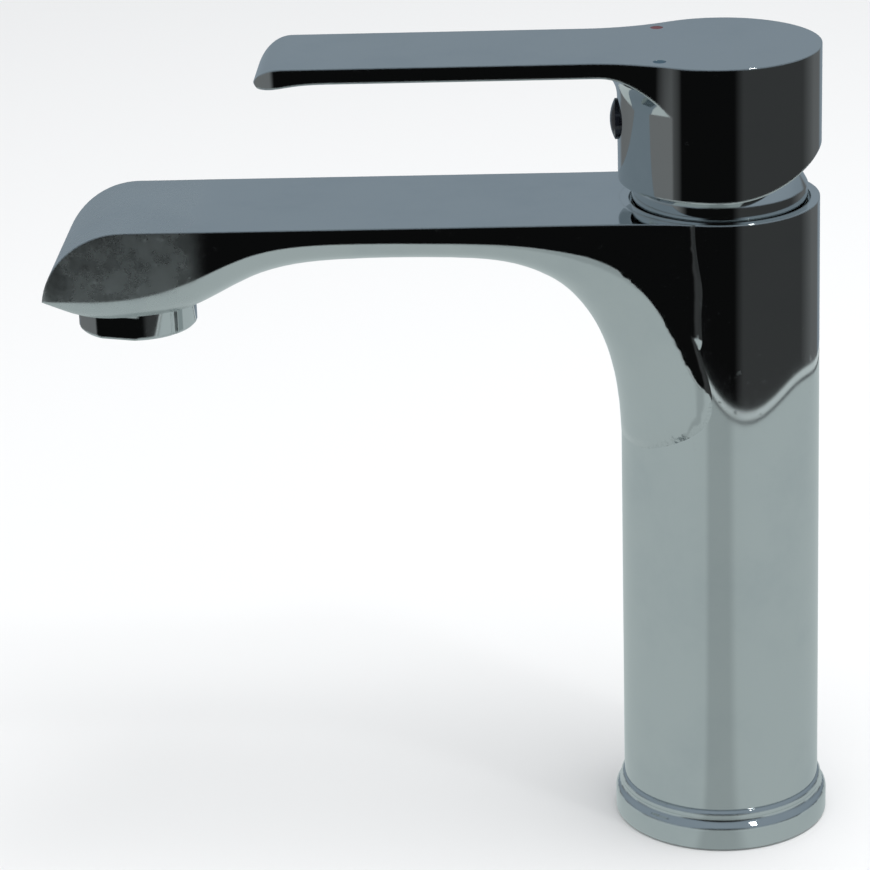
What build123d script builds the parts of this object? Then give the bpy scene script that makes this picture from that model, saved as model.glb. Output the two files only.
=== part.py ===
from build123d import *
import math
import os

# Single-lever basin mixer.  Millimetres.  Origin: column axis at the counter
# plane (underside of the gasket).  +Z up, the spout and lever point along -Y,
# the mixer is symmetric about the YZ plane.  User's left (hot) is -X.

# ---- overall ----
rim_z = 156.0               # top of column and of the spout
spout_tip_y = -155.3
handle_tip_y = -105.3
handle_rise = 36.0          # rim to the top of the handle
cart_r = 17.4               # 35 mm cartridge

# ---- clearances ----
run_gap = 0.05              # turning and sliding fits
cart_gap = 0.2
seal_gap = 0.2

# ---- column: the cartridge, its nut thread and the dome set its radius ----
thread_r = cart_r + 1.6
recess_r = thread_r + 1.9   # ring recess round the dome
rim_wall = 2.1
column_r = recess_r + rim_wall
foot_flare = 0.5            # the column widens slightly towards the foot
column_foot_r = column_r + foot_flare
wall = 3.2

# ---- foot ----
gasket_t = 1.5
ring_top_z = 9.8
ring_w = 2.1                # how far the ring stands out from the column
ring_drop = 1.0             # the ring hides the gasket except for its lowest part
ring_r = column_foot_r + ring_w
gasket_r = ring_r - 1.0
gasket_bore_r = 17.0
spigot_r = column_foot_r - 0.9
foot_recess_z = 5.0

# ---- spout and elbow ----
spout_half_w = column_r - 2.5
nose_len = 19.3             # nose to the aerator axis
nose_z = rim_z - 16.8       # lowest point of the rolled nose
nose_corner_r = 2.5
aerator_y = spout_tip_y + nose_len
underside_z = rim_z - 11.0  # lowest line of the straight part of the spout
elbow_reach = 43.0          # column to where the underside starts to bend down
elbow_y = -column_r - elbow_reach
elbow_foot_z = rim_z - 64.0  # where it has become the column
elbow_power = 2.66          # superellipse of the elbow's front line
belly = 7.2                 # depth of the rounded underside of the straight part
side_fillet = 100.0         # radius of the blend from the spout's side into the column

# ---- body inside, measured from the cartridge seat ----
seat_depth = 41.0
seat_z = rim_z - seat_depth
seat_block_z = seat_z - 15.0
chamber_z0 = seat_z - 12.0
chamber_z1 = seat_z - 4.0
chamber_r0 = cart_r - 4.9
chamber_r1 = column_r - 2.7
block_top_z = 30.0
inlet_x = 7.5
inlet_tap_r = 4.5           # M10x1, modelled at its tapping size
inlet_tap_len = 12.0
stud_y = 9.0
stud_tap_r = 3.4            # M8, modelled at its tapping size

# ---- cartridge ports and seals ----
port_x = 6.5
port_y = -4.0
port_r = 3.0
outlet_y = 7.5
outlet_r = 3.5
pipe_wall = 1.8
seal_w = 1.5
seal_h = 1.3
key_x = 12.5                # two pegs that stop the cartridge turning
key_y = 5.0
key_len = 2.5

# ---- cartridge ----
pivot_z = seat_z + 34.0     # lever pivot
cart_inner_r = cart_r - 2.4
cart_floor_z = seat_z + 0.5
cart_split_z = seat_z + 3.0
cart_roof_z = pivot_z - 8.5
cart_shoulder_z = cart_roof_z + 3.0
rotor_r = 11.0
neck_r = rotor_r + 1.8
neck_top_z = pivot_z + 3.0
disc_z0 = seat_z + 9.0
disc_t = 3.5
disc_r = cart_inner_r - 0.2
moving_r = 9.5
peg_x = 6.5                 # pegs that tie the moving disc to its carrier
peg_r = 1.0
carrier_r = 10.0
rail_x0 = 5.6               # rails on the carrier, guided by grooves in the rotor
rail_x1 = 7.5
rail_h = 1.3
carrier_top_z = pivot_z - 10.6
rotor_flange_r = cart_inner_r - 1.0
rotor_z0 = carrier_top_z + 0.3
rotor_top_z = pivot_z + 5.5
stem_half = 4.0
slot_half = stem_half + 0.1
slot_len = 9.0
stem_top_z = pivot_z + 37.0
pin_r = 1.5
pin_half = 10.2
eye_r = 4.5                 # eye of the stem round its pin
arm = 12.0                  # pivot to the ball that pushes the disc carrier
arm_r = 2.3
ball_r = 2.8
ball_gap = 0.1

# ---- nut and dome ----
thread_z0 = cart_shoulder_z - 2.5
recess_z = rim_z - 3.2
nut_bore_r = neck_r + 0.2
nut_neck_r = thread_r - 0.6
dome_skirt_r = recess_r - 0.7
dome_r = dome_skirt_r + 2.4  # sphere about the lever pivot
dome_t = 1.0
dome_foot_z = recess_z + 1.2
nut_top_z = dome_foot_z + 3.5
dome_open_r = nut_bore_r
oring_r = 0.6
oring_z = dome_foot_z + 1.7

# ---- aerator, M24x1 ----
aer_thread_r = 11.45
aer_skirt_r = aer_thread_r + 2.35
aer_bore_r = aer_thread_r - 1.15
aer_seat_z = rim_z - 20.2
aer_bottom_z = aer_seat_z - 8.1
aer_top_z = aer_seat_z + 8.2
aer_washer_t = 2.0
aer_lip = 0.8
insert_t = 9.2
screen_t = 1.0

# ---- handle ----
handle_top_z = rim_z + handle_rise
head_r = column_r + 0.25
head_inner_r = head_r - 2.75
head_bottom_z = rim_z + 5.0
blade_half_w = 15.5
blade_t = 3.6
blade_corner_r = 8.0
flare_r = 40.0
underside_r = 8.0
relief_r = 37.0
hub_r = 1.5 * stem_half + 2.0
hub_bottom_z = pivot_z + dome_r + 0.6  # the boss clears the dome
socket_half = stem_half + 0.05
screw_z = hub_bottom_z + 2.6
screw_r = 2.1
screw_len = 10.0
hex_half = 1.25
plug_r = 4.7
plug_pin_r = 2.95
plug_depth = 1.4
mark_r = 1.5
mark_x = 15.2
mark_y = -13.8
mark_depth = 0.6


def cyl(r, z0, z1, x=0.0, y=0.0):
    return Pos(x, y, (z0 + z1) / 2) * Cylinder(r, z1 - z0)


def tube(r1, r0, z0, z1, x=0.0, y=0.0):
    return cyl(r1, z0, z1, x, y) - cyl(r0, z0 - 1, z1 + 1, x, y)


def block(x0, x1, y0, y1, z0, z1):
    return Pos((x0 + x1) / 2, (y0 + y1) / 2, (z0 + z1) / 2) * Box(x1 - x0, y1 - y0, z1 - z0)


def turned(points):
    """Revolve a closed outline of (radius, z) points about Z."""
    outline = Polyline(*[(r, 0, z) for r, z in points], close=True)
    return revolve(make_face(outline), Axis.Z, 360)


def along_x(points, half_w):
    """Extrude a closed outline of (y, z) points by half_w to both sides of X = 0."""
    outline = Polyline(*[(0, y, z) for y, z in points], close=True)
    face = make_face(outline)
    return extrude(face, amount=half_w, dir=(1, 0, 0), both=True)


def rod_x(r, x0, x1, y, z):
    return Pos((x0 + x1) / 2, y, z) * Rot(0, 90, 0) * Cylinder(r, x1 - x0)


def rod_y(r, y0, y1, x, z):
    return Pos(x, (y0 + y1) / 2, z) * Rot(90, 0, 0) * Cylinder(r, y1 - y0)


# ---------------------------------------------------------------- spout outside
def column_radius(z):
    return column_r + (column_foot_r - column_r) * (rim_z - z) / (rim_z - ring_top_z)


def side_x(y, z):
    """Half width of the spout: parallel sides, then a hollow fillet tangent to the column."""
    r = column_radius(z)
    start = -math.sqrt((r - spout_half_w) * (r + spout_half_w + 2 * side_fillet))
    end = start * r / (r + side_fillet)
    if y < start:
        return spout_half_w
    if y < end:
        return spout_half_w + side_fillet - math.sqrt(side_fillet ** 2 - (y - start) ** 2)
    return math.sqrt(r ** 2 - y ** 2) - 0.02 * (1 + y - end)


def spout_section(y, z, tilt, depth, belly_t, narrower=0.0):
    """D-shaped section: elliptical belly below, upright sides, flat back."""
    t = math.radians(tilt)

    def side(share):
        d = belly_t + share * (depth - belly_t)
        return side_x(y + d * math.sin(t), min(rim_z, z + d * math.cos(t))) - narrower, d

    right = [side(share) for share in (0, 0.35, 0.7, 1)]
    left = [(-x, d) for x, d in reversed(right)]
    plane = Plane(origin=(0, y, z), x_dir=(1, 0, 0), z_dir=(0, -math.cos(t), math.sin(t)))
    with BuildSketch(plane) as sk:
        with BuildLine():
            EllipticalCenterArc((0, belly_t), right[0][0], belly_t, start_angle=180, arc_size=180)
            Spline(*right)
            Line(right[-1], left[0])
            Spline(*left)
        make_face()
    return sk.sketch


def elbow_section(angle):
    """Section across the elbow, angle degrees round its superellipse."""
    c = math.cos(math.radians(angle)) ** (2 / elbow_power)
    s = math.sin(math.radians(angle)) ** (2 / elbow_power)
    a = -elbow_y - column_radius(elbow_foot_z) + 0.06
    b = underside_z - elbow_foot_z
    tilt = math.atan2(b * s ** (elbow_power - 1), a * c ** (elbow_power - 1))
    y = elbow_y + a * s
    z = elbow_foot_z + b * c
    back = (1.5 - y) / math.sin(tilt)
    if math.cos(tilt) > 0.02:
        back = min(back, (rim_z + 8 - z) / math.cos(tilt))
    belly_t = belly + (column_radius(z) - belly) * math.sin(tilt) ** 2
    return spout_section(y, z, math.degrees(tilt), back, belly_t)


def spout_outside():
    tip = spout_tip_y
    straight = [
        (tip - 1.5, nose_z, 0.5, nose_corner_r),
        (tip + 1.2, nose_z - 2.3, 2.7, 0.3 * nose_corner_r),
        (tip + 5, nose_z - 5.2, 5.7, 0),
        (aerator_y, rim_z - 24.6, 8.6, 0),
        (aerator_y + 14, rim_z - 22.4, 10.0, 0),
        (aerator_y + 28, rim_z - 15.4, 9.0, 0),
        ((aerator_y + 28 + elbow_y) / 2, underside_z - 0.2, belly + 0.4, 0),
        (elbow_y, underside_z, belly, 0),
    ]
    sections = [spout_section(y, z, 0, rim_z + 8 - z, b, n) for y, z, b, n in straight]
    sections += [elbow_section(angle) for angle in (16, 30, 42, 53, 63, 72, 80, 86)]
    return loft(sections)


def spout_window():
    """Side window of the spout: flat top, rolled-down nose, crisp lower lip."""
    with BuildSketch(Plane.YZ) as sk:
        with BuildLine():
            a = (aerator_y, rim_z)
            b = (spout_tip_y, nose_z)
            foot = elbow_foot_z - 2
            TangentArc(a, b, tangent=(-1, 0))
            Polyline(b, (spout_tip_y, nose_z - 20), (elbow_y, foot), (1, foot), (1, rim_z), a)
        make_face()
    return extrude(sk.sketch, amount=40, both=True)


# ---------------------------------------------------------------- body and spout
def water_channel():
    """Mixed water: annular chamber under the seat, riser, then along the spout."""
    chamber = tube(chamber_r1, chamber_r0, chamber_z0, chamber_z1)
    chamber += block(-4, 4, outlet_y - outlet_r, chamber_r0 + 2, chamber_z0, chamber_z1)
    outlet = cyl(outlet_r, chamber_z0, seat_z + 1, 0, outlet_y)
    front = [(-chamber_r1, chamber_z0), (-chamber_r1 - 0.7, seat_z - 7), (-chamber_r1 - 2.1, seat_z),
             (-chamber_r1 - 5.2, seat_z + 8), (-chamber_r1 - 10.7, seat_z + 17),
             (-chamber_r1 - 16.7, seat_z + 24.5), (-chamber_r1 - 19.7, rim_z - 6)]
    back = [(-column_r - 1, rim_z - 6), (-column_r + 0.2, rim_z - 16), (-chamber_r0 - 1.5, chamber_z1)]
    riser = along_x([(-chamber_r0 - 1.5, chamber_z0)] + front + back, 6.5)
    riser -= cyl(cart_r + cart_gap + 1.7, chamber_z1, thread_z0 - 2)
    riser -= cyl(thread_r + 1.7, thread_z0 - 3, rim_z)
    run_end = aerator_y - 5
    run_z = underside_z + wall
    run_top = rim_z - wall
    run_pts = [(-column_r - 3, run_top), (run_end, run_top), (run_end, run_z),
               (elbow_y + 17, run_z), (elbow_y + 28, run_z - 4.2), (-column_r - 7, run_z - 4.2)]
    run = along_x(run_pts, 12.5)
    return chamber + outlet + riser + run


def column_outside():
    return turned([(0, gasket_t), (spigot_r, gasket_t), (spigot_r, ring_top_z),
                   (column_foot_r, ring_top_z), (column_r, rim_z), (0, rim_z)])


def make_body():
    shape = column_outside()
    # closed hollow of the column, with the two cast inlet pipes left standing
    hollow = cyl(column_r - wall, block_top_z, seat_block_z)
    for s in (-1, 1):
        hollow -= cyl(port_r + pipe_wall, block_top_z - 1, seat_block_z + 1, s * port_x, port_y)
    shape -= hollow
    # foot recess, inlets, stud hole
    shape -= cyl(gasket_bore_r, gasket_t - 1, foot_recess_z)
    for s in (-1, 1):
        shape -= cyl(inlet_tap_r, 0, foot_recess_z + inlet_tap_len, s * inlet_x, port_y)
        shape -= cyl(port_r, foot_recess_z + inlet_tap_len - 1, seat_z + 1, s * port_x, port_y)
        shape -= cyl(pin_r + run_gap, seat_z - key_len, seat_z + 1, s * key_x, key_y)
    shape -= cyl(stud_tap_r, 0, block_top_z + 1, 0, stud_y)
    # cartridge bore, nut thread, recess round the dome
    shape -= cyl(cart_r + cart_gap, seat_z, rim_z + 1)
    shape -= cyl(thread_r, thread_z0, rim_z + 1)
    shape -= cyl(recess_r, recess_z, rim_z + 1)
    return shape - water_channel()


def make_spout():
    """Hollow casting brazed to the column, with the socket of the aerator."""
    shape = (spout_window() & spout_outside()) - column_outside()
    shape = max(shape.solids(), key=lambda solid: solid.volume)
    shape -= water_channel()
    shape -= cyl(aer_thread_r, aer_bottom_z - 5, aer_top_z + aer_washer_t, 0, aerator_y)
    shape -= cyl(aer_thread_r - 2.0, aer_top_z, underside_z + wall + 1, 0, aerator_y)
    shape -= cyl(aer_skirt_r + 0.15, aer_bottom_z - 5, aer_seat_z, 0, aerator_y)
    return shape


def make_base_ring():
    top = ring_top_z
    profile = [(spigot_r + run_gap, top), (spigot_r + run_gap, gasket_t),
               (gasket_r + 0.1, gasket_t), (gasket_r + 0.1, gasket_t - ring_drop),
               (ring_r, gasket_t - ring_drop), (ring_r, top - 4.6), (ring_r - 0.12, top - 4.0),
               (ring_r - 0.45, top - 3.5), (ring_r - 0.95, top - 3.1), (ring_r - 1.3, top - 2.6),
               (ring_r - 1.45, top - 2.0), (ring_r - 1.3, top - 1.5), (ring_r - 1.35, top - 0.8),
               (ring_r - 1.65, top - 0.3), (ring_r - 2.0, top)]
    return turned(profile)


def make_base_gasket():
    return tube(gasket_r, gasket_bore_r, 0, gasket_t)


# ---------------------------------------------------------------- cartridge
def ports(z0, z1, grow=0.0):
    shape = cyl(outlet_r + grow, z0, z1, 0, outlet_y)
    for s in (-1, 1):
        shape += cyl(port_r + grow, z0, z1, s * port_x, port_y)
    return shape


def seal_rings(z0):
    return ports(z0, z0 + seal_h, seal_gap + seal_w) - ports(z0 - 1, z0 + seal_h + 1, seal_gap)


def make_cartridge_base():
    top = disc_z0 - seal_h + 0.8
    shape = cyl(cart_r, cart_floor_z, cart_split_z)
    shape += cyl(cart_inner_r - run_gap, cart_split_z, top)
    for s in (-1, 1):
        shape += cyl(pin_r, cart_floor_z - key_len, cart_floor_z, s * key_x, key_y)
    shape -= ports(cart_floor_z - 1, top + 1)
    shape -= ports(cart_floor_z - 1, seat_z + seal_h, seal_gap + seal_w)
    shape -= ports(disc_z0 - seal_h, top + 1, seal_gap + seal_w)
    return shape


def make_fixed_disc():
    return cyl(disc_r, disc_z0, disc_z0 + disc_t) - ports(disc_z0 - 1, disc_z0 + disc_t + 1)


def make_moving_disc():
    z0 = disc_z0 + disc_t
    shape = cyl(moving_r, z0, z0 + disc_t)
    shape -= block(-4.5, 4.5, -0.4, 8.0, z0 - 1, z0 + 1.6)
    for s in (-1, 1):
        shape -= cyl(peg_r + run_gap, z0 + disc_t - 1.3, z0 + disc_t + 1, s * peg_x, 0)
    return shape


def make_disc_carrier():
    z0 = disc_z0 + 2 * disc_t
    shape = cyl(carrier_r, z0, carrier_top_z)
    shape -= cyl(ball_r + ball_gap, pivot_z - arm - ball_r - 0.6, carrier_top_z + 1)
    for s in (-1, 1):
        shape += cyl(peg_r, z0 - 1.2, z0, s * peg_x, 0)
        xa, xb = sorted((s * rail_x0, s * rail_x1))
        shape += block(xa, xb, -4, 4, carrier_top_z, carrier_top_z + rail_h)
    return shape


def make_rotor():
    shape = cyl(rotor_r, rotor_z0, rotor_top_z)
    shape += cyl(rotor_flange_r, rotor_z0, cart_roof_z - 0.1)
    shape -= block(-slot_half, slot_half, -slot_len, slot_len, rotor_z0 - 1, rotor_top_z + 1)
    for s in (-1, 1):
        xa, xb = sorted((s * (rail_x0 - 0.1), s * (rail_x1 + 0.1)))
        shape -= block(xa, xb, -rotor_flange_r, rotor_flange_r, rotor_z0 - 1, rotor_z0 + rail_h)
    shape -= rod_x(pin_r + 0.02, -rotor_r - 1, rotor_r + 1, 0, pivot_z)
    return shape


def make_pivot_pin():
    return rod_x(pin_r, -pin_half, pin_half, 0, pivot_z)


def make_stem():
    shape = block(-stem_half, stem_half, -stem_half, stem_half, pivot_z, stem_top_z)
    shape = chamfer(shape.edges().group_by(Axis.Z)[-1], 0.8)
    shape += rod_x(eye_r, -stem_half, stem_half, 0, pivot_z)
    shape += cyl(arm_r, pivot_z - arm, pivot_z)
    shape += Pos(0, 0, pivot_z - arm) * Sphere(ball_r)
    return shape - rod_x(pin_r + run_gap, -stem_half - 1, stem_half + 1, 0, pivot_z)


def make_cartridge_housing():
    shape = cyl(cart_r, cart_split_z, cart_shoulder_z) + cyl(neck_r, cart_shoulder_z, neck_top_z)
    shape -= cyl(cart_inner_r, cart_split_z - 1, cart_roof_z)
    return shape - cyl(rotor_r + run_gap, cart_roof_z - 1, neck_top_z + 1)


# ---------------------------------------------------------------- nut and dome
def make_cartridge_nut():
    shape = cyl(thread_r - run_gap, cart_shoulder_z - 1.5, recess_z + 0.1)
    shape += cyl(dome_skirt_r, recess_z + 0.1, dome_foot_z)
    shape += cyl(nut_neck_r, dome_foot_z, nut_top_z)
    shape -= cyl(cart_r + 0.15, cart_shoulder_z - 3, cart_shoulder_z)
    shape -= cyl(nut_bore_r, cart_shoulder_z - 1, nut_top_z + 1)
    shape -= tube(dome_skirt_r, dome_skirt_r - dome_t - 2 * oring_r, oring_z - oring_r, oring_z + oring_r)
    slot = block(nut_neck_r - 2.9, dome_skirt_r, -1.5, 1.5, nut_top_z - 1.1, nut_top_z + 1)
    for k in range(4):
        shape -= Rot(0, 0, 45 + 90 * k) * slot
    return shape


def make_dome_seal_ring():
    return Pos(0, 0, oring_z) * Torus(dome_skirt_r - dome_t - oring_r, oring_r)


def make_dome_cover():
    skirt_top = pivot_z + math.sqrt(dome_r ** 2 - dome_skirt_r ** 2)
    top = pivot_z + dome_r
    inner_r = dome_skirt_r - dome_t
    shape = Pos(0, 0, pivot_z) * Sphere(dome_r) & cyl(dome_skirt_r, skirt_top, top)
    shape += cyl(dome_skirt_r, dome_foot_z, skirt_top)
    shape -= (Pos(0, 0, pivot_z) * Sphere(dome_r - dome_t)) & cyl(inner_r, dome_foot_z - 1, top)
    shape -= cyl(inner_r, dome_foot_z - 1, skirt_top)
    return shape - cyl(dome_open_r, dome_foot_z - 1, top)


# ---------------------------------------------------------------- handle
def handle_plan():
    """Paddle outline: straight blade with rounded tip corners, flared into the round head."""
    yc = -math.sqrt((head_r + flare_r) ** 2 - (blade_half_w + flare_r) ** 2)
    xc = blade_half_w + flare_r
    k = head_r / (head_r + flare_r)
    tx, ty = xc * k, yc * k
    a0 = math.atan2(ty - yc, tx - xc)
    am = (a0 + math.pi) / 2
    mx, my = xc + flare_r * math.cos(am), yc + flare_r * math.sin(am)
    c = blade_corner_r
    q = c * (1 - math.sqrt(0.5))
    w = blade_half_w
    tip = handle_tip_y
    with BuildSketch(Plane.XY) as sk:
        with BuildLine():
            ThreePointArc((tx, ty), (0, head_r), (-tx, ty))
            ThreePointArc((-tx, ty), (-mx, my), (-w, yc))
            Line((-w, yc), (-w, tip + c))
            ThreePointArc((-w, tip + c), (-w + q, tip + q), (-w + c, tip))
            Line((-w + c, tip), (w - c, tip))
            ThreePointArc((w - c, tip), (w - q, tip + q), (w, tip + c))
            Line((w, tip + c), (w, yc))
            ThreePointArc((w, yc), (mx, my), (tx, ty))
        make_face()
    return sk.sketch


def blade_window():
    """Side window of the blade: flat top, rolled tip with a slightly thicker lip."""
    t = handle_top_z
    y = handle_tip_y
    with BuildSketch(Plane.YZ) as sk:
        with BuildLine():
            TangentArc((y + 7.0, t), (y, t - 4.6), tangent=(-1, 0))
            Line((y, t - 4.6), (y + 1.2, t - 5.2))
            Spline((y + 1.2, t - 5.2), (y + 8.0, t - 4.2), (y + 17, t - blade_t),
                   tangents=((1, 0.05), (1, 0)))
            Polyline((y + 17, t - blade_t), (10, t - blade_t), (10, t), (y + 7.0, t))
        make_face()
    return extrude(sk.sketch, amount=40, both=True)


def head_blank():
    """Round head, its front flaring out under the blade with a concave fillet."""
    z1 = handle_top_z - blade_t
    with BuildSketch(Plane.XZ) as sk:
        with BuildLine():
            a = (head_r, z1 - underside_r)
            b = (head_r + underside_r, z1)
            m = (head_r + underside_r * (1 - math.sqrt(0.5)), z1 - underside_r * (1 - math.sqrt(0.5)))
            ThreePointArc(a, m, b)
            Polyline(b, (head_r + underside_r, handle_top_z), (0, handle_top_z), (0, head_bottom_z),
                     (head_r, head_bottom_z), a)
        make_face()
    return revolve(sk.sketch, Axis.Z, 360)


def make_handle():
    outline = Pos(0, 0, head_bottom_z - 1) * extrude(handle_plan(), amount=40)
    shape = (head_blank() + blade_window()) & outline
    # the lower edge rises towards the back so the lever can be lifted
    relief = block(-40, 40, 0, 40, head_bottom_z - 5, head_bottom_z + relief_r)
    relief -= rod_x(relief_r, -50, 50, 0, head_bottom_z + relief_r)
    shape -= relief
    ceiling = handle_top_z - blade_t
    cavity = cyl(head_inner_r, head_bottom_z - 2, ceiling)
    cavity -= cyl(hub_r, hub_bottom_z, ceiling + 1)
    cavity -= block(-4.5, 4.5, -head_inner_r - 2, 0, hub_bottom_z - 1.2, ceiling + 1)
    shape -= cavity
    shape -= block(-socket_half, socket_half, -socket_half, socket_half, head_bottom_z, stem_top_z + 0.5)
    shape -= rod_y(screw_r, -head_r, 0, 0, screw_z)
    shape -= rod_y(plug_pin_r + run_gap, -head_r, -head_r + plug_depth + 3.6, 0, screw_z)
    shape -= rod_y(plug_r + run_gap, -head_r - 1, -head_r + plug_depth, 0, screw_z)
    for s in (-1, 1):
        shape -= cyl(mark_r, handle_top_z - mark_depth, handle_top_z + 1, s * mark_x, mark_y)
    return shape


def make_set_screw():
    end_y = -stem_half - screw_len
    hexagon = Rot(90, 0, 0) * extrude(RegularPolygon(hex_half, 6), amount=-3.5)
    return rod_y(screw_r, end_y, -stem_half, 0, screw_z) - Pos(0, end_y - 0.5, screw_z) * hexagon


def make_indicator_plug():
    face_y = -head_r + plug_depth
    shape = rod_y(plug_pin_r, face_y, face_y + 3.4, 0, screw_z)
    shape += rod_y(plug_r, -head_r - 0.5, face_y, 0, screw_z)
    cap_r = 10.0
    centre = -head_r - 0.5 - 1.2 + cap_r
    cap = (Pos(0, centre, screw_z) * Sphere(cap_r)) & rod_y(plug_r, -head_r - 3, -head_r - 0.5, 0, screw_z)
    return shape + cap


def make_mark(side):
    return cyl(mark_r, handle_top_z - mark_depth, handle_top_z - 0.05, side * mark_x, mark_y)


# ---------------------------------------------------------------- aerator
def hole_pattern(r, pitch, rings, z0, z1):
    shape = cyl(r, z0, z1, 0, aerator_y)
    for ring in range(1, rings + 1):
        for k in range(6 * ring):
            a = math.radians(60.0 * k / ring)
            shape += cyl(r, z0, z1, ring * pitch * math.cos(a), aerator_y + ring * pitch * math.sin(a))
    return shape


def make_aerator_housing():
    shape = cyl(aer_skirt_r, aer_bottom_z, aer_seat_z - 0.1, 0, aerator_y)
    shape = chamfer(shape.edges().group_by(Axis.Z)[0], 0.5)
    shape += cyl(aer_thread_r - run_gap, aer_seat_z - 0.1, aer_top_z, 0, aerator_y)
    shape -= cyl(aer_bore_r, aer_bottom_z + aer_lip, aer_top_z + 1, 0, aerator_y)
    shape -= cyl(aer_bore_r - 1.2, aer_bottom_z - 1, aer_top_z, 0, aerator_y)
    for side in (0, 180):
        flat = block(aer_skirt_r - 1.1, aer_skirt_r + 2, -8, 8, aer_bottom_z - 1, aer_seat_z - 2.2)
        shape -= Pos(0, aerator_y, 0) * Rot(0, 0, side - 15) * flat
        for a in (60, 120):
            slot = block(aer_skirt_r - 0.6, aer_skirt_r + 2, -0.7, 0.7, aer_bottom_z - 1, aer_seat_z - 2.2)
            shape -= Pos(0, aerator_y, 0) * Rot(0, 0, side - 15 + a) * slot
    return shape


def make_aerator_insert():
    z0 = aer_bottom_z + aer_lip
    shape = cyl(aer_bore_r - 0.1, z0, z0 + insert_t, 0, aerator_y)
    return shape - hole_pattern(1.15, 0.3 * aer_bore_r, 2, z0 - 1, z0 + insert_t + 1)


def make_aerator_screen():
    z0 = aer_bottom_z + aer_lip + insert_t
    shape = cyl(aer_bore_r - 0.1, z0, z0 + screen_t, 0, aerator_y)
    return shape - hole_pattern(0.6, 0.215 * aer_bore_r, 3, z0 - 1, z0 + screen_t + 1)


def make_aerator_washer():
    return tube(aer_thread_r - 0.1, aer_bore_r - 1.8, aer_top_z, aer_top_z + aer_washer_t, 0, aerator_y)


pieces = {
    "body": make_body(),
    "spout": make_spout(),
    "base_ring": make_base_ring(),
    "base_gasket": make_base_gasket(),
    "cartridge_base": make_cartridge_base(),
    "cartridge_housing": make_cartridge_housing(),
    "seat_seals": seal_rings(seat_z),
    "disc_seals": seal_rings(disc_z0 - seal_h),
    "fixed_disc": make_fixed_disc(),
    "moving_disc": make_moving_disc(),
    "disc_carrier": make_disc_carrier(),
    "rotor": make_rotor(),
    "pivot_pin": make_pivot_pin(),
    "stem": make_stem(),
    "cartridge_nut": make_cartridge_nut(),
    "dome_seal_ring": make_dome_seal_ring(),
    "dome_cover": make_dome_cover(),
    "handle": make_handle(),
    "set_screw": make_set_screw(),
    "indicator_plug": make_indicator_plug(),
    "hot_mark": make_mark(-1),
    "cold_mark": make_mark(1),
    "aerator_housing": make_aerator_housing(),
    "aerator_insert": make_aerator_insert(),
    "aerator_screen": make_aerator_screen(),
    "aerator_washer": make_aerator_washer(),
}

os.makedirs("parts", exist_ok=True)
for name, shape in pieces.items():
    export_step(shape, "parts/" + name + ".step")
    print(name, len(shape.solids()), round(shape.volume, 1), shape.bounding_box())
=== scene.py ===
import math
import bpy
from mathutils import Matrix, Vector


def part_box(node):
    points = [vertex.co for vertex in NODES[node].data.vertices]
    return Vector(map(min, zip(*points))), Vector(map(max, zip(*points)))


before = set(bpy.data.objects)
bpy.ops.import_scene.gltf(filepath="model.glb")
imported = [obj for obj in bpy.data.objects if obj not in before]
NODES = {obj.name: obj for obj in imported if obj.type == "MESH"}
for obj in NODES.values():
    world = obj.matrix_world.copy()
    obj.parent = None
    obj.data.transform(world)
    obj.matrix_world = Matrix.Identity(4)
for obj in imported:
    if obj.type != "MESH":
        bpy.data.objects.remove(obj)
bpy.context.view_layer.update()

# ---- camera ----
CAMERA_PLACE = (0.761, -0.0285, 0.3921)
CAMERA_YAW = math.radians(2.92)      # away from looking straight along -X
CAMERA_PITCH = math.radians(21.1)    # looking down
CAMERA_ROLL = math.radians(-1.95)
CAMERA_LENS = 142.7                  # mm
CAMERA_SENSOR = 36.0                 # mm

# ---- chrome ----
CHROME_COLOR = (0.62, 0.65, 0.65)
CHROME_FILM_COLOR = (0.62 * 0.93, 0.65 * 0.94, 0.65 * 0.95)
WATER_SPOT_COLOR = (0.62, 0.64, 0.64)
SPOT_SCALE = 420.0
FILM_SCALE = 38.0
LIME_SCALE = 160.0
WAVE_SCALE = 95.0
CHROME_ROUGHNESS = 0.035
FILM_ROUGHNESS = 0.035               # added where the film is
SPOT_ROUGHNESS = 0.10                # added where a water spot is
SPOT_STRENGTH = 0.12
WAVE_STRENGTH = 0.003                # slight unevenness left by polishing
WAVE_HEIGHT = 0.0006
EDGE_ROUNDING = 0.0007
EDGE_SAMPLES = 6
NOSE_FILM_FADE = 0.008
NOSE_FILM_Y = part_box("aerator_housing")[1][1] + NOSE_FILM_FADE   # the film starts behind the aerator
SIDE_COSINES = (0.985, 0.996)        # a normal within 10 to 5 degrees of radial is the column's side

# ---- other materials ----
GRAIN = 900.0                        # noise scale of moulded and machined surfaces
GRAIN_HEIGHT = 0.0002
GRAIN_STRENGTH = 0.15
GRAIN_ROUGHNESS = 0.15               # how much the roughness varies
ROUGHNESS_OFFSET = 0.07              # taken off before the varying part is added
BLOTCH_SCALE = GRAIN * 0.15
BLOTCH_DARKNESS = 0.82
BRASS = (0.75, 0.58, 0.30)
STEEL = (0.55, 0.55, 0.55)
BLACK_RUBBER = (0.02, 0.02, 0.02)
RED_SILICONE = (0.45, 0.08, 0.05)
WHITE_PLASTIC = (0.80, 0.80, 0.78)
BLACK_PLASTIC = (0.06, 0.06, 0.065)
INSERT_PLASTIC = (0.62, 0.66, 0.68)
CERAMIC = (0.86, 0.86, 0.84)
PLUG_GLOSS = (0.012, 0.014, 0.02)
HOT_RED = (0.10, 0.006, 0.006)
COLD_BLUE = (0.004, 0.035, 0.06)

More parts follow.
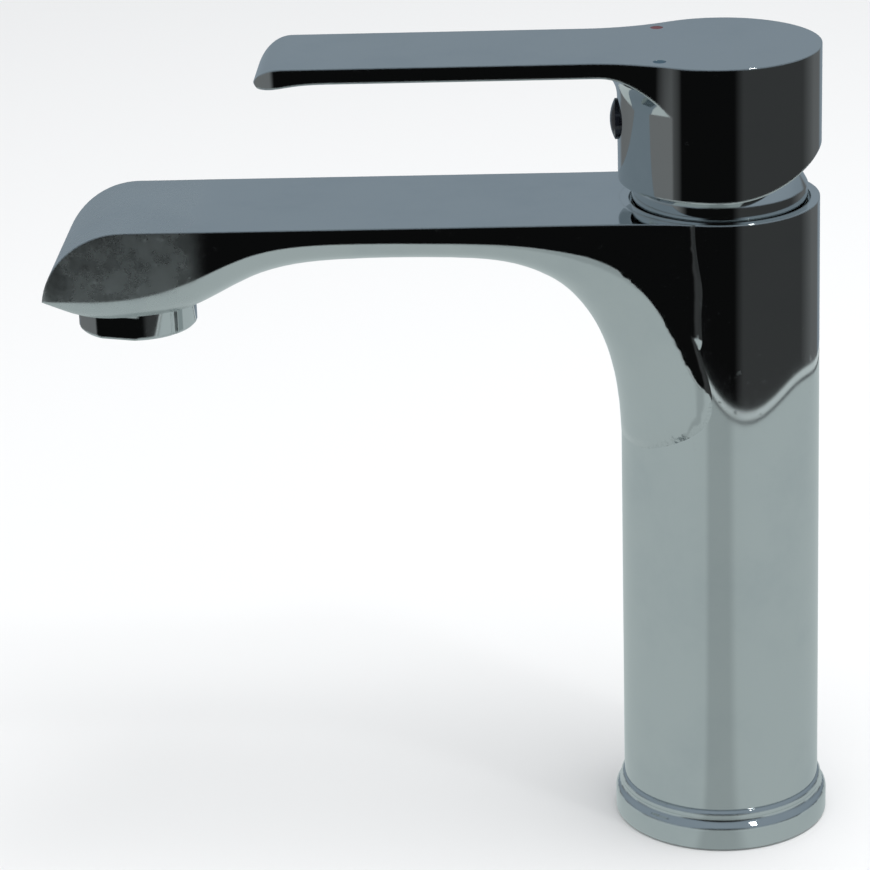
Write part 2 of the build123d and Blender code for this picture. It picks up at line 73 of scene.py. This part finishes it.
# ---- what the chrome reflects ----
LEFT_PANEL = 0.20
FRONT_FLAG = 0.005                   # black flag on the camera's side
RIGHT_PANEL = 0.05
BACK_PANEL = 0.15
PANELS = [                           # compass direction in degrees from +X, brightness
    (-180, BACK_PANEL), (-120, LEFT_PANEL), (-60, LEFT_PANEL), (-45, FRONT_FLAG),
    (15, FRONT_FLAG), (25, RIGHT_PANEL), (105, RIGHT_PANEL), (130, BACK_PANEL),
]
WALL_LOW = (0.245, 0.298, 0.345, 1)
WALL_HIGH = (0.295, 0.355, 0.41, 1)
CEILING = (0.30, 0.34, 0.36, 1)
STUDIO_LIGHT = (0.86, 0.87, 0.88, 1)

TABLE_HALF_X = 0.337
TABLE_HALF_Y = 0.405
TABLE_CENTRE = (-0.012, -0.08)
TABLE_CORNERS = 96
TABLE_GROOVE_END = 0.005             # how far the groove reaches past the table
TABLE_EDGE_END = 0.014               # how far the bright edge reaches past the table
TABLE_STEP = 0.0005                  # each ring lies this much lower than the one inside it
# glow colours of the painted reflection of the table; the shaded colour is painted shade
TABLE_COLOR = (0.47, 0.53, 0.53)
TABLE_SHADED_COLOR = (0.37, 0.42, 0.42)
TABLE_GROOVE_COLOR = (0.06, 0.065, 0.065)
TABLE_EDGE_COLOR = (0.62, 0.68, 0.68)

# ---- floor and lights ----
FLOOR_HALF = 4
FLOOR_COLOR = (0.80, 0.80, 0.80, 1)
FLOOR_ROUGHNESS = 0.8
LIGHT_TARGET = Vector((0, 0, 0.1))


# ------------------------------------------------------------------ camera
def add_camera():
    """Looks down at the mixer's side from the +X side."""
    level = math.cos(CAMERA_PITCH)
    forward = Vector((-math.cos(CAMERA_YAW) * level, -math.sin(CAMERA_YAW) * level, -math.sin(CAMERA_PITCH)))
    side = Vector((-math.sin(CAMERA_YAW), math.cos(CAMERA_YAW), 0.0))
    up = side.cross(forward)
    right = side * math.cos(CAMERA_ROLL) + up * math.sin(CAMERA_ROLL)
    top = up * math.cos(CAMERA_ROLL) - side * math.sin(CAMERA_ROLL)
    data = bpy.data.cameras.new("photo_camera")
    data.sensor_width = CAMERA_SENSOR
    data.lens = CAMERA_LENS
    camera = bpy.data.objects.new("photo_camera", data)
    bpy.context.collection.objects.link(camera)
    matrix = Matrix((right, top, -forward)).transposed().to_4x4()
    matrix.translation = Vector(CAMERA_PLACE)
    camera.matrix_world = matrix
    bpy.context.scene.camera = camera


# ------------------------------------------------------------------ node helpers
class Graph:
    """Short calls for making shader nodes."""

    def __init__(self, tree):
        self.tree = tree

    def node(self, kind):
        return self.tree.nodes.new(kind)

    def link(self, a, b):
        self.tree.links.new(a, b)

    def put(self, socket, value):
        """Link another node's output to the socket, or set its value."""
        if isinstance(value, bpy.types.NodeSocket):
            self.link(value, socket)
        else:
            socket.default_value = value

    def math(self, operation, a, b):
        node = self.node("ShaderNodeMath")
        node.operation = operation
        self.put(node.inputs[0], a)
        self.put(node.inputs[1], b)
        return node.outputs[0]

    def vector_math(self, operation, *vectors):
        node = self.node("ShaderNodeVectorMath")
        node.operation = operation
        for socket, vector in zip(node.inputs, vectors):
            self.put(socket, vector)
        return node

    def smooth(self, x, low, high, start=0.0, end=1.0):
        """Smooth step from start to end while x goes from low to high."""
        node = self.node("ShaderNodeMapRange")
        node.interpolation_type = "SMOOTHSTEP"
        self.link(x, node.inputs["Value"])
        node.inputs["From Min"].default_value = low
        node.inputs["From Max"].default_value = high
        node.inputs["To Min"].default_value = start
        node.inputs["To Max"].default_value = end
        return node.outputs["Result"]

    def mix(self, factor, a, b):
        """Mix two colours."""
        node = self.node("ShaderNodeMix")
        node.data_type = "RGBA"
        self.put(node.inputs[0], factor)
        self.put(node.inputs[6], a)
        self.put(node.inputs[7], b)
        return node.outputs[2]

    def noise(self, vector, scale, detail, roughness=0.5):
        node = self.node("ShaderNodeTexNoise")
        node.inputs["Scale"].default_value = scale
        node.inputs["Detail"].default_value = detail
        node.inputs["Roughness"].default_value = roughness
        self.link(vector, node.inputs["Vector"])
        return node.outputs["Fac"]

    def split(self, vector):
        node = self.node("ShaderNodeSeparateXYZ")
        self.link(vector, node.inputs[0])
        return node.outputs

    def bump(self, height, strength, distance):
        node = self.node("ShaderNodeBump")
        node.inputs["Strength"].default_value = strength
        node.inputs["Distance"].default_value = distance
        self.link(height, node.inputs["Height"])
        return node


def new_material(name):
    """A material with a bare Principled shader, its graph, and the place on the object."""
    mat = bpy.data.materials.new(name)
    mat.use_nodes = True
    mat.node_tree.nodes.clear()
    g = Graph(mat.node_tree)
    out = g.node("ShaderNodeOutputMaterial")
    shader = g.node("ShaderNodeBsdfPrincipled")
    g.link(shader.outputs[0], out.inputs["Surface"])
    place = g.node("ShaderNodeTexCoord").outputs["Object"]
    return mat, g, shader, place


# ------------------------------------------------------------------ materials
def turned_normal(g, place, normal):
    """On the column's side, the exact normal of a turned surface; elsewhere the given one."""
    level = g.vector_math("MULTIPLY", place, (1, 1, 0)).outputs[0]
    radial = g.vector_math("NORMALIZE", level).outputs[0]
    cosine = g.vector_math("DOT_PRODUCT", radial, normal).outputs["Value"]
    pick = g.node("ShaderNodeMix")
    pick.data_type = "VECTOR"
    g.link(g.smooth(cosine, *SIDE_COSINES), pick.inputs[0])
    g.link(normal, pick.inputs[4])
    g.link(radial, pick.inputs[5])
    return pick.outputs[1]


def nose_film(g, place):
    """Extra roughness of the limescale film on the nose of the spout."""
    lime = g.smooth(g.noise(place, LIME_SCALE, 5.0, 0.7), 0.15, 0.75, 0.15, 0.27)
    y = g.split(place)[1]
    return g.math("MULTIPLY", lime, g.smooth(y, NOSE_FILM_Y, NOSE_FILM_Y - NOSE_FILM_FADE))


def chrome(name, film_at_nose=False, turned=False):
    """Polished chrome with water spots, a faint film and softly rounded edges."""
    mat, g, shader, place = new_material(name)
    shader.inputs["Metallic"].default_value = 1.0
    spots = g.smooth(g.noise(place, SPOT_SCALE, 3.0, 0.6), 0.62, 0.78)
    film = g.smooth(g.noise(place, FILM_SCALE, 4.0, 0.6), 0.42, 0.75)
    tint = g.mix(film, (*CHROME_COLOR, 1), (*CHROME_FILM_COLOR, 1))
    tint = g.mix(g.math("MULTIPLY", spots, SPOT_STRENGTH), tint, (*WATER_SPOT_COLOR, 1))
    g.link(tint, shader.inputs["Base Color"])
    roughness = g.math("ADD", g.math("MULTIPLY", film, FILM_ROUGHNESS), CHROME_ROUGHNESS)
    roughness = g.math("ADD", roughness, g.math("MULTIPLY", spots, SPOT_ROUGHNESS))
    if film_at_nose:
        roughness = g.math("ADD", roughness, nose_film(g, place))
    g.link(roughness, shader.inputs["Roughness"])
    edges = g.node("ShaderNodeBevel")
    edges.samples = EDGE_SAMPLES
    edges.inputs["Radius"].default_value = EDGE_ROUNDING
    normal = turned_normal(g, place, edges.outputs[0]) if turned else edges.outputs[0]
    waves = g.bump(g.noise(place, WAVE_SCALE, 1.0), WAVE_STRENGTH, WAVE_HEIGHT)
    g.link(normal, waves.inputs["Normal"])
    g.link(waves.outputs[0], shader.inputs["Normal"])
    return mat


def plain(name, color, roughness, bump_strength=GRAIN_STRENGTH, metallic=0.0):
    """Plastic, rubber, ceramic or bare metal with fine grain and faint blotches."""
    mat, g, shader, place = new_material(name)
    shader.inputs["Metallic"].default_value = metallic
    grain = g.noise(place, GRAIN, 4.0)
    blotches = g.noise(place, BLOTCH_SCALE, 3.0)
    dark = tuple(c * BLOTCH_DARKNESS for c in color)
    g.link(g.mix(blotches, (*dark, 1), (*color, 1)), shader.inputs["Base Color"])
    variation = g.math("MULTIPLY", grain, GRAIN_ROUGHNESS)
    g.link(g.math("ADD", variation, roughness - ROUGHNESS_OFFSET), shader.inputs["Roughness"])
    g.link(g.bump(grain, bump_strength, GRAIN_HEIGHT).outputs[0], shader.inputs["Normal"])
    return mat


def dress(node, mat):
    """Give every material slot of a CAD node the same material."""
    mesh = NODES[node].data
    if not mesh.materials:
        mesh.materials.append(mat)
    for slot in NODES[node].material_slots:
        slot.material = mat


def dress_chrome():
    shared = chrome("chrome_body")
    for name in ("base_ring", "handle", "aerator_housing", "dome_cover"):
        dress(name, shared)
    dress("body", chrome("chrome_column", turned=True))
    dress("spout", chrome("chrome_spout", film_at_nose=True))


def dress_rubber():
    rubber = plain("rubber_black", BLACK_RUBBER, 0.7)
    for name in ("base_gasket", "dome_seal_ring", "aerator_washer"):
        dress(name, rubber)
    for name in ("seat_seals", "disc_seals"):
        dress(name, plain(name + "_silicone", RED_SILICONE, 0.5))


def dress_metal():
    dress("cartridge_nut", plain("brass_machined", BRASS, 0.3, metallic=1.0))
    dress("stem", plain("brass_stem", BRASS, 0.35, metallic=1.0))
    for name in ("pivot_pin", "set_screw", "aerator_screen"):
        dress(name, plain(name + "_steel", STEEL, 0.3, metallic=1.0))


def dress_plastic_and_ceramic():
    for name in ("cartridge_housing", "cartridge_base"):
        dress(name, plain(name + "_plastic", WHITE_PLASTIC, 0.45))
    for name in ("rotor", "disc_carrier"):
        dress(name, plain(name + "_plastic", BLACK_PLASTIC, 0.45))
    for name in ("fixed_disc", "moving_disc"):
        dress(name, plain(name + "_ceramic", CERAMIC, 0.25))
    dress("aerator_insert", plain("insert_plastic", INSERT_PLASTIC, 0.4))


def dress_plug_and_marks():
    dress("indicator_plug", plain("plug_gloss", PLUG_GLOSS, 0.12, bump_strength=0.02))
    dress("hot_mark", plain("mark_red", HOT_RED, 0.25))
    dress("cold_mark", plain("mark_blue", COLD_BLUE, 0.25))


# ------------------------------------------------------------------ surroundings
def panel_colors(g, x, y):
    """The studio panels by compass direction, blending into each other."""
    azimuth = g.math("ARCTAN2", y, x)
    turn = g.math("ADD", g.math("DIVIDE", azimuth, 2 * math.pi), 0.5)
    ramp = g.node("ShaderNodeValToRGB")
    g.link(turn, ramp.inputs[0])
    stops = ramp.color_ramp.elements
    stops.remove(stops[1])
    for degrees, level in PANELS:
        stop = stops.new(degrees / 360 + 0.5)
        stop.color = (level * 0.96, level, level * 1.02, 1)
    return ramp.outputs[0]


def background(g, color):
    node = g.node("ShaderNodeBackground")
    g.put(node.inputs["Color"], color)
    return node.outputs[0]


def add_world():
    """Pale light all round, and plain panels, walls and a ceiling for the chrome to reflect."""
    world = bpy.data.worlds.new("studio")
    bpy.context.scene.world = world
    world.use_nodes = True
    world.node_tree.nodes.clear()
    g = Graph(world.node_tree)
    x, y, z = g.split(g.node("ShaderNodeTexCoord").outputs["Generated"])
    wall = g.mix(g.smooth(z, 0.0, 0.5), WALL_LOW, WALL_HIGH)
    room = g.mix(g.smooth(z, 0.30, 0.85), panel_colors(g, x, y), CEILING)
    # the wall fills the side away from the camera, and stands above all panels but the flag
    far_side = g.math("SUBTRACT", 1.0, g.smooth(x, -0.88, -0.80))
    above_panels = g.math("MULTIPLY", g.smooth(z, 0.02, 0.12), g.smooth(x, 0.93, 0.80))
    room = g.mix(g.math("MAXIMUM", far_side, above_panels), room, wall)
    pick = g.node("ShaderNodeMixShader")
    g.link(g.node("ShaderNodeLightPath").outputs["Is Glossy Ray"], pick.inputs[0])
    g.link(background(g, STUDIO_LIGHT), pick.inputs[1])
    g.link(background(g, room), pick.inputs[2])
    g.link(pick.outputs[0], g.node("ShaderNodeOutputWorld").inputs["Surface"])


def staged(name, points):
    """A flat polygon that is not part of the object."""
    mesh = bpy.data.meshes.new(name)
    mesh.from_pydata(points, [], [tuple(range(len(points)))])
    obj = bpy.data.objects.new(name, mesh)
    bpy.context.collection.objects.link(obj)
    return obj


def oval(grow, depth):
    """Outline of the oval table that the chrome reflects."""
    angles = [2 * math.pi * k / TABLE_CORNERS for k in range(TABLE_CORNERS)]
    cx, cy = TABLE_CENTRE
    rx = TABLE_HALF_X + grow
    ry = TABLE_HALF_Y + grow
    return [(cx + rx * math.cos(a), cy + ry * math.sin(a), -depth) for a in angles]


def glowing(obj, color):
    """A painted reflection: glows at a set brightness and is seen only in reflections."""
    mat, g, shader, place = new_material(obj.name + "_paint")
    shader.inputs["Base Color"].default_value = (0, 0, 0, 1)
    shader.inputs["Emission Color"].default_value = (*color, 1)
    shader.inputs["Emission Strength"].default_value = 1.0
    obj.data.materials.append(mat)
    obj.visible_camera = False
    obj.visible_diffuse = False
    obj.visible_shadow = False
    return g, shader, place


def add_table():
    """The reflected table as a glowing painted reflection, with painted shade on the camera's side, a groove
    and a bright edge.
    """
    g, shader, place = glowing(staged("table_reflected", oval(0.0, TABLE_STEP)), TABLE_COLOR)
    x, y, z = g.split(place)
    azimuth = g.math("ARCTAN2", y, x)
    # painted shade: the table's glow is duller in a band on the camera's side
    shade = g.math("MULTIPLY", g.smooth(azimuth, -0.35, -0.22), g.smooth(azimuth, 0.30, 0.10))
    color = g.mix(shade, (*TABLE_COLOR, 1), (*TABLE_SHADED_COLOR, 1))
    g.link(color, shader.inputs["Emission Color"])
    # a dark groove ring and a bright edge ring, glowing as part of the painted reflection
    glowing(staged("table_groove_reflected", oval(TABLE_GROOVE_END, 2 * TABLE_STEP)), TABLE_GROOVE_COLOR)
    glowing(staged("table_edge_reflected", oval(TABLE_EDGE_END, 3 * TABLE_STEP)), TABLE_EDGE_COLOR)


def add_floor():
    """Plain pale floor, which the chrome doesn't reflect."""
    h = FLOOR_HALF
    floor = staged("floor", [(-h, -h, 0), (h, -h, 0), (h, h, 0), (-h, h, 0)])
    mat, g, shader, place = new_material("floor_paint")
    shader.inputs["Base Color"].default_value = FLOOR_COLOR
    shader.inputs["Roughness"].default_value = FLOOR_ROUGHNESS
    floor.data.materials.append(mat)
    floor.visible_glossy = False


def area_light(name, place, width, depth, energy):
    """A rectangular lamp aimed at the mixer."""
    data = bpy.data.lights.new(name, "AREA")
    data.shape = "RECTANGLE"
    data.size = width
    data.size_y = depth
    data.energy = energy
    lamp = bpy.data.objects.new(name, data)
    bpy.context.collection.objects.link(lamp)
    lamp.location = place
    lamp.rotation_euler = (LIGHT_TARGET - Vector(place)).to_track_quat("-Z", "Y").to_euler()
    return lamp


def add_lights():
    softbox = area_light("softbox", (0.1, 0.2, 1.3), 0.9, 0.7, 9.0)
    softbox.visible_glossy = False
    area_light("lamp_glint", (0.5, 0.55, 1.2), 0.10, 0.10, 1.2)


add_camera()
add_world()
add_floor()
add_table()
add_lights()
bpy.context.scene.view_settings.view_transform = "Standard"

dress_chrome()
dress_rubber()
dress_metal()
dress_plastic_and_ceramic()
dress_plug_and_marks()
